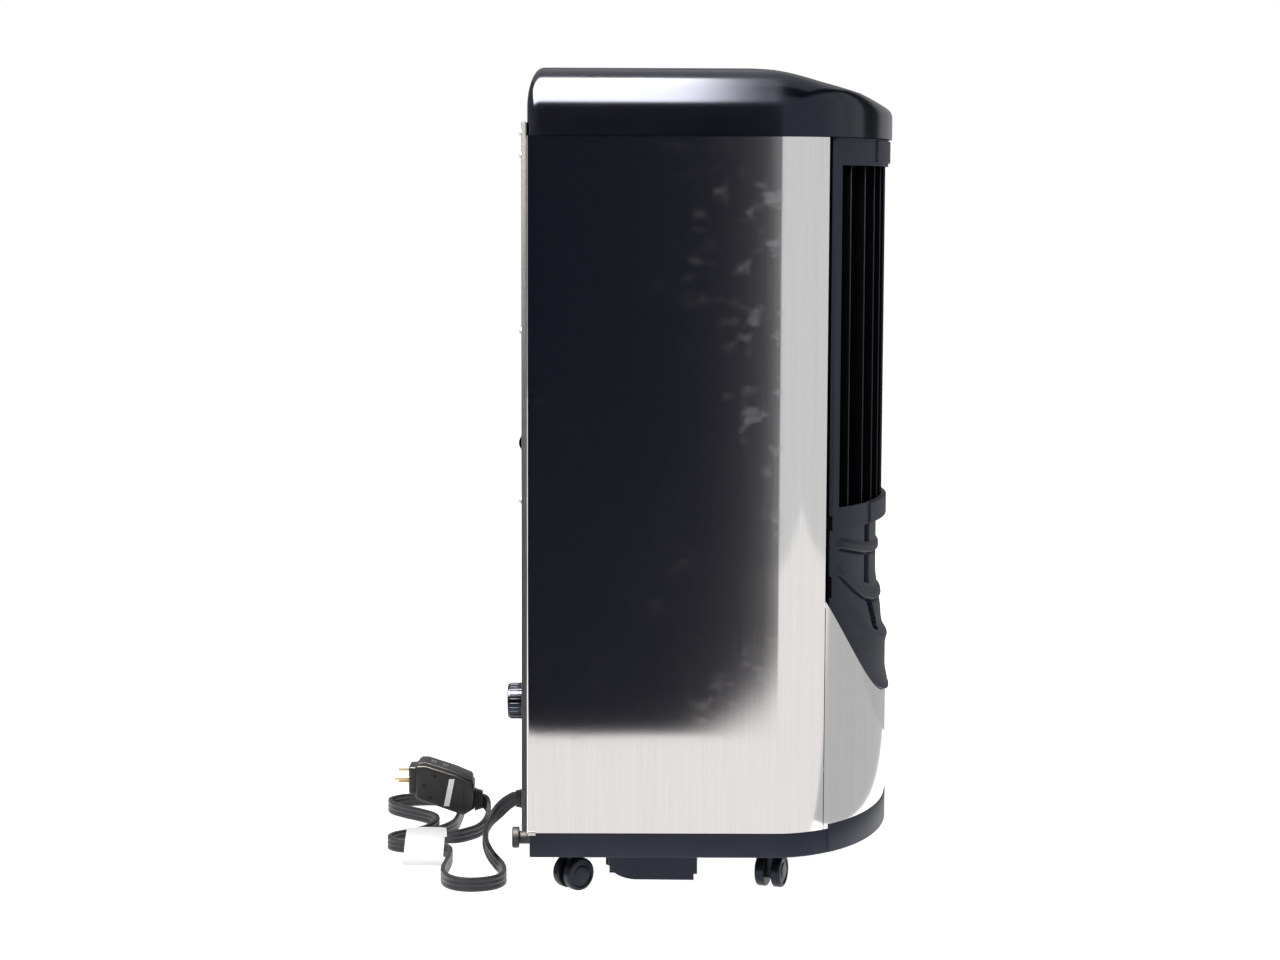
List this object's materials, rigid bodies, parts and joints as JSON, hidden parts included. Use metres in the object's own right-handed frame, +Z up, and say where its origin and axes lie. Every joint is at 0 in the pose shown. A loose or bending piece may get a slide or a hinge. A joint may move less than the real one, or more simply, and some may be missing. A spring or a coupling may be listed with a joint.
{
  "type": "portable air conditioner",
  "caption": "Upright portable air conditioner on casters: steel sides, bowed front grille over turning vanes, rolled dark top, rear filter, drains, exhaust port and a power cord.",
  "frame": {"origin": "on the floor, under the middle of the cabinet's bounding box", "axes": "+X to the right seen from the front, +Y to the rear, +Z up; the front grille faces -Y"},
  "size_m": [0.44, 0.5315, 0.796],
  "materials": {
    "charcoal": "fine satin grain",
    "cover_black": "smooth satin gloss",
    "steel": "vertical brushed grain",
    "rear_black": "fine texture",
    "caster_black": "semi-gloss",
    "lens": "polished",
    "key_grey": "satin",
    "galvanised": "galvanised",
    "fins": "fine fins",
    "copper": "drawn copper",
    "motor_black": "enamel",
    "inner_white": "plain",
    "filter": "fine mesh",
    "cord": "satin",
    "brass": "drawn",
    "paper": "printed film"
  },
  "bodies": {
    "cabinet": {"base_pan": "charcoal", "drain_sump": "charcoal", "side_panel_left": "steel", "side_panel_right": "steel", "lower_front_panel": "steel", "front_trim": "charcoal", "front_grille": "charcoal", "outlet_duct": "inner_white", "top_cover": "cover_black", "control_panel": "charcoal", "display_lens": "lens", "control_box": "galvanised", "rear_panel": "rear_black", "exhaust_collar": "rear_black", "drain_spout": "rear_black", "divider_deck": "galvanised", "evaporator": "fins", "condenser": "fins", "blower_housing": "inner_white", "blower_motor": "motor_black", "fan_motor": "motor_black", "fan_shroud": "inner_white", "compressor": "motor_black", "suction_pipe": "copper", "discharge_pipe": "copper", "cord_bush": "cord", "power_cord": "cord", "cord_tag": "paper", "plug_body": "cord", "plug_ground_pin": "brass", "plug_blade_upper": "brass", "plug_blade_lower": "brass"},
    "caster_rear_left": {"caster_hood_rear_left": "caster_black"},
    "wheels_rear_left": {"caster_wheels_rear_left": "caster_black"},
    "caster_rear_right": {"caster_hood_rear_right": "caster_black"},
    "wheels_rear_right": {"caster_wheels_rear_right": "caster_black"},
    "caster_front_left": {"caster_hood_front_left": "caster_black"},
    "wheels_front_left": {"caster_wheels_front_left": "caster_black"},
    "caster_front_right": {"caster_hood_front_right": "caster_black"},
    "wheels_front_right": {"caster_wheels_front_right": "caster_black"},
    "vane_1": {"louvre_vane_1": "charcoal"},
    "vane_2": {"louvre_vane_2": "charcoal"},
    "vane_3": {"louvre_vane_3": "charcoal"},
    "vane_4": {"louvre_vane_4": "charcoal"},
    "vane_5": {"louvre_vane_5": "charcoal"},
    "vane_link": {"vane_link_bar": "charcoal"},
    "key_power": {"button_power": "key_grey"},
    "key_mode": {"button_mode": "key_grey"},
    "key_fan_speed": {"button_fan_speed": "key_grey"},
    "key_timer": {"button_timer": "key_grey"},
    "key_warmer": {"button_warmer": "key_grey"},
    "key_cooler": {"button_cooler": "key_grey"},
    "plug_test_key": {"plug_test_button": "key_grey"},
    "plug_reset_key": {"plug_reset_button": "key_grey"},
    "filter_door": {"intake_grille": "rear_black", "air_filter": "filter"},
    "upper_drain_cap": {"drain_cap": "cover_black"},
    "lower_drain_plug": {"drain_plug": "rear_black"},
    "blower": {"blower_wheel": "inner_white"},
    "cooling_fan": {"condenser_fan": "inner_white"}
  },
  "joints": [
    {"name": "swivel_rear_left", "type": "hinge", "parent": "cabinet", "child": "caster_rear_left", "pos_m": [-0.186, 0.1215, 0.037], "axis": [0, 0, 1], "continuous": true},
    {"name": "roll_rear_left", "type": "hinge", "parent": "caster_rear_left", "child": "wheels_rear_left", "pos_m": [-0.19179, 0.12839, 0.0162], "axis": [0.766, 0.6428, 0], "continuous": true},
    {"name": "swivel_rear_right", "type": "hinge", "parent": "cabinet", "child": "caster_rear_right", "pos_m": [0.186, 0.1215, 0.037], "axis": [0, 0, 1], "continuous": true},
    {"name": "roll_rear_right", "type": "hinge", "parent": "caster_rear_right", "child": "wheels_rear_right", "pos_m": [0.1898, 0.12966, 0.0162], "axis": [0.9063, -0.4226, 0], "continuous": true},
    {"name": "swivel_front_left", "type": "hinge", "parent": "cabinet", "child": "caster_front_left", "pos_m": [-0.172, -0.069, 0.037], "axis": [0, 0, 1], "continuous": true},
    {"name": "roll_front_left", "type": "hinge", "parent": "caster_front_left", "child": "wheels_front_left", "pos_m": [-0.18046, -0.06592, 0.0162], "axis": [0.342, 0.9397, 0], "continuous": true},
    {"name": "swivel_front_right", "type": "hinge", "parent": "cabinet", "child": "caster_front_right", "pos_m": [0.172, -0.069, 0.037], "axis": [0, 0, 1], "continuous": true},
    {"name": "roll_front_right", "type": "hinge", "parent": "caster_front_right", "child": "wheels_front_right", "pos_m": [0.16967, -0.06031, 0.0162], "axis": [0.9659, 0.2588, 0], "continuous": true},
    {"name": "vane_1_turn", "type": "hinge", "parent": "cabinet", "child": "vane_1", "pos_m": [-0.13, -0.1185, 0.5345], "axis": [0, 0, 1], "range_deg": [-28, 28]},
    {"name": "vane_2_turn", "type": "hinge", "parent": "cabinet", "child": "vane_2", "pos_m": [-0.065, -0.13843, 0.5345], "axis": [0, 0, 1], "range_deg": [-28, 28]},
    {"name": "vane_3_turn", "type": "hinge", "parent": "cabinet", "child": "vane_3", "pos_m": [0, -0.145, 0.5345], "axis": [0, 0, 1], "range_deg": [-28, 28]},
    {"name": "vane_4_turn", "type": "hinge", "parent": "cabinet", "child": "vane_4", "pos_m": [0.065, -0.13843, 0.5345], "axis": [0, 0, 1], "range_deg": [-28, 28]},
    {"name": "vane_5_turn", "type": "hinge", "parent": "cabinet", "child": "vane_5", "pos_m": [0.13, -0.1185, 0.5345], "axis": [0, 0, 1], "range_deg": [-28, 28]},
    {"name": "vane_link_slide", "type": "slide", "parent": "cabinet", "child": "vane_link", "axis": [1, 0, 0], "range_m": [-0.00685, 0.00685]},
    {"name": "press_power", "type": "slide", "parent": "cabinet", "child": "key_power", "axis": [0, -0.2317, 0.9728], "range_m": [-0.0012, 0], "stiffness_N_per_m": 400, "springref_m": 0.001},
    {"name": "press_mode", "type": "slide", "parent": "cabinet", "child": "key_mode", "axis": [0, -0.2317, 0.9728], "range_m": [-0.0012, 0], "stiffness_N_per_m": 400, "springref_m": 0.001},
    {"name": "press_fan_speed", "type": "slide", "parent": "cabinet", "child": "key_fan_speed", "axis": [0, -0.2317, 0.9728], "range_m": [-0.0012, 0], "stiffness_N_per_m": 400, "springref_m": 0.001},
    {"name": "press_timer", "type": "slide", "parent": "cabinet", "child": "key_timer", "axis": [0, -0.2317, 0.9728], "range_m": [-0.0012, 0], "stiffness_N_per_m": 400, "springref_m": 0.001},
    {"name": "press_warmer", "type": "slide", "parent": "cabinet", "child": "key_warmer", "axis": [0, -0.2317, 0.9728], "range_m": [-0.0012, 0], "stiffness_N_per_m": 400, "springref_m": 0.001},
    {"name": "press_cooler", "type": "slide", "parent": "cabinet", "child": "key_cooler", "axis": [0, -0.2317, 0.9728], "range_m": [-0.0012, 0], "stiffness_N_per_m": 400, "springref_m": 0.001},
    {"name": "press_plug_test", "type": "slide", "parent": "cabinet", "child": "plug_test_key", "axis": [0, -0.3032, 0.9529], "range_m": [-0.0008, 0], "stiffness_N_per_m": 300, "springref_m": 0.001},
    {"name": "press_plug_reset", "type": "slide", "parent": "cabinet", "child": "plug_reset_key", "axis": [0, -0.3032, 0.9529], "range_m": [-0.0008, 0], "stiffness_N_per_m": 300, "springref_m": 0.001},
    {"name": "filter_pull", "type": "slide", "parent": "cabinet", "child": "filter_door", "axis": [0, 1, 0], "range_m": [0, 0.1]},
    {"name": "drain_cap_pull", "type": "slide", "parent": "cabinet", "child": "upper_drain_cap", "axis": [0, 1, 0], "range_m": [0, 0.05]},
    {"name": "drain_plug_pull", "type": "slide", "parent": "cabinet", "child": "lower_drain_plug", "axis": [0, 1, 0], "range_m": [0, 0.015]},
    {"name": "blower_spin", "type": "hinge", "parent": "cabinet", "child": "blower", "pos_m": [0, 0.03, 0.54], "axis": [0, 1, 0], "continuous": true},
    {"name": "cooling_fan_spin", "type": "hinge", "parent": "cabinet", "child": "cooling_fan", "pos_m": [0.075, 0.068, 0.205], "axis": [0, 1, 0], "continuous": true}
  ],
  "couplings": [
    {"joint": "vane_2_turn", "follows": "vane_1_turn", "ratio": 1},
    {"joint": "vane_3_turn", "follows": "vane_1_turn", "ratio": 1},
    {"joint": "vane_4_turn", "follows": "vane_1_turn", "ratio": 1},
    {"joint": "vane_5_turn", "follows": "vane_1_turn", "ratio": 1},
    {"joint": "vane_link_slide", "follows": "vane_1_turn", "m_per_rad": -0.014}
  ]
}
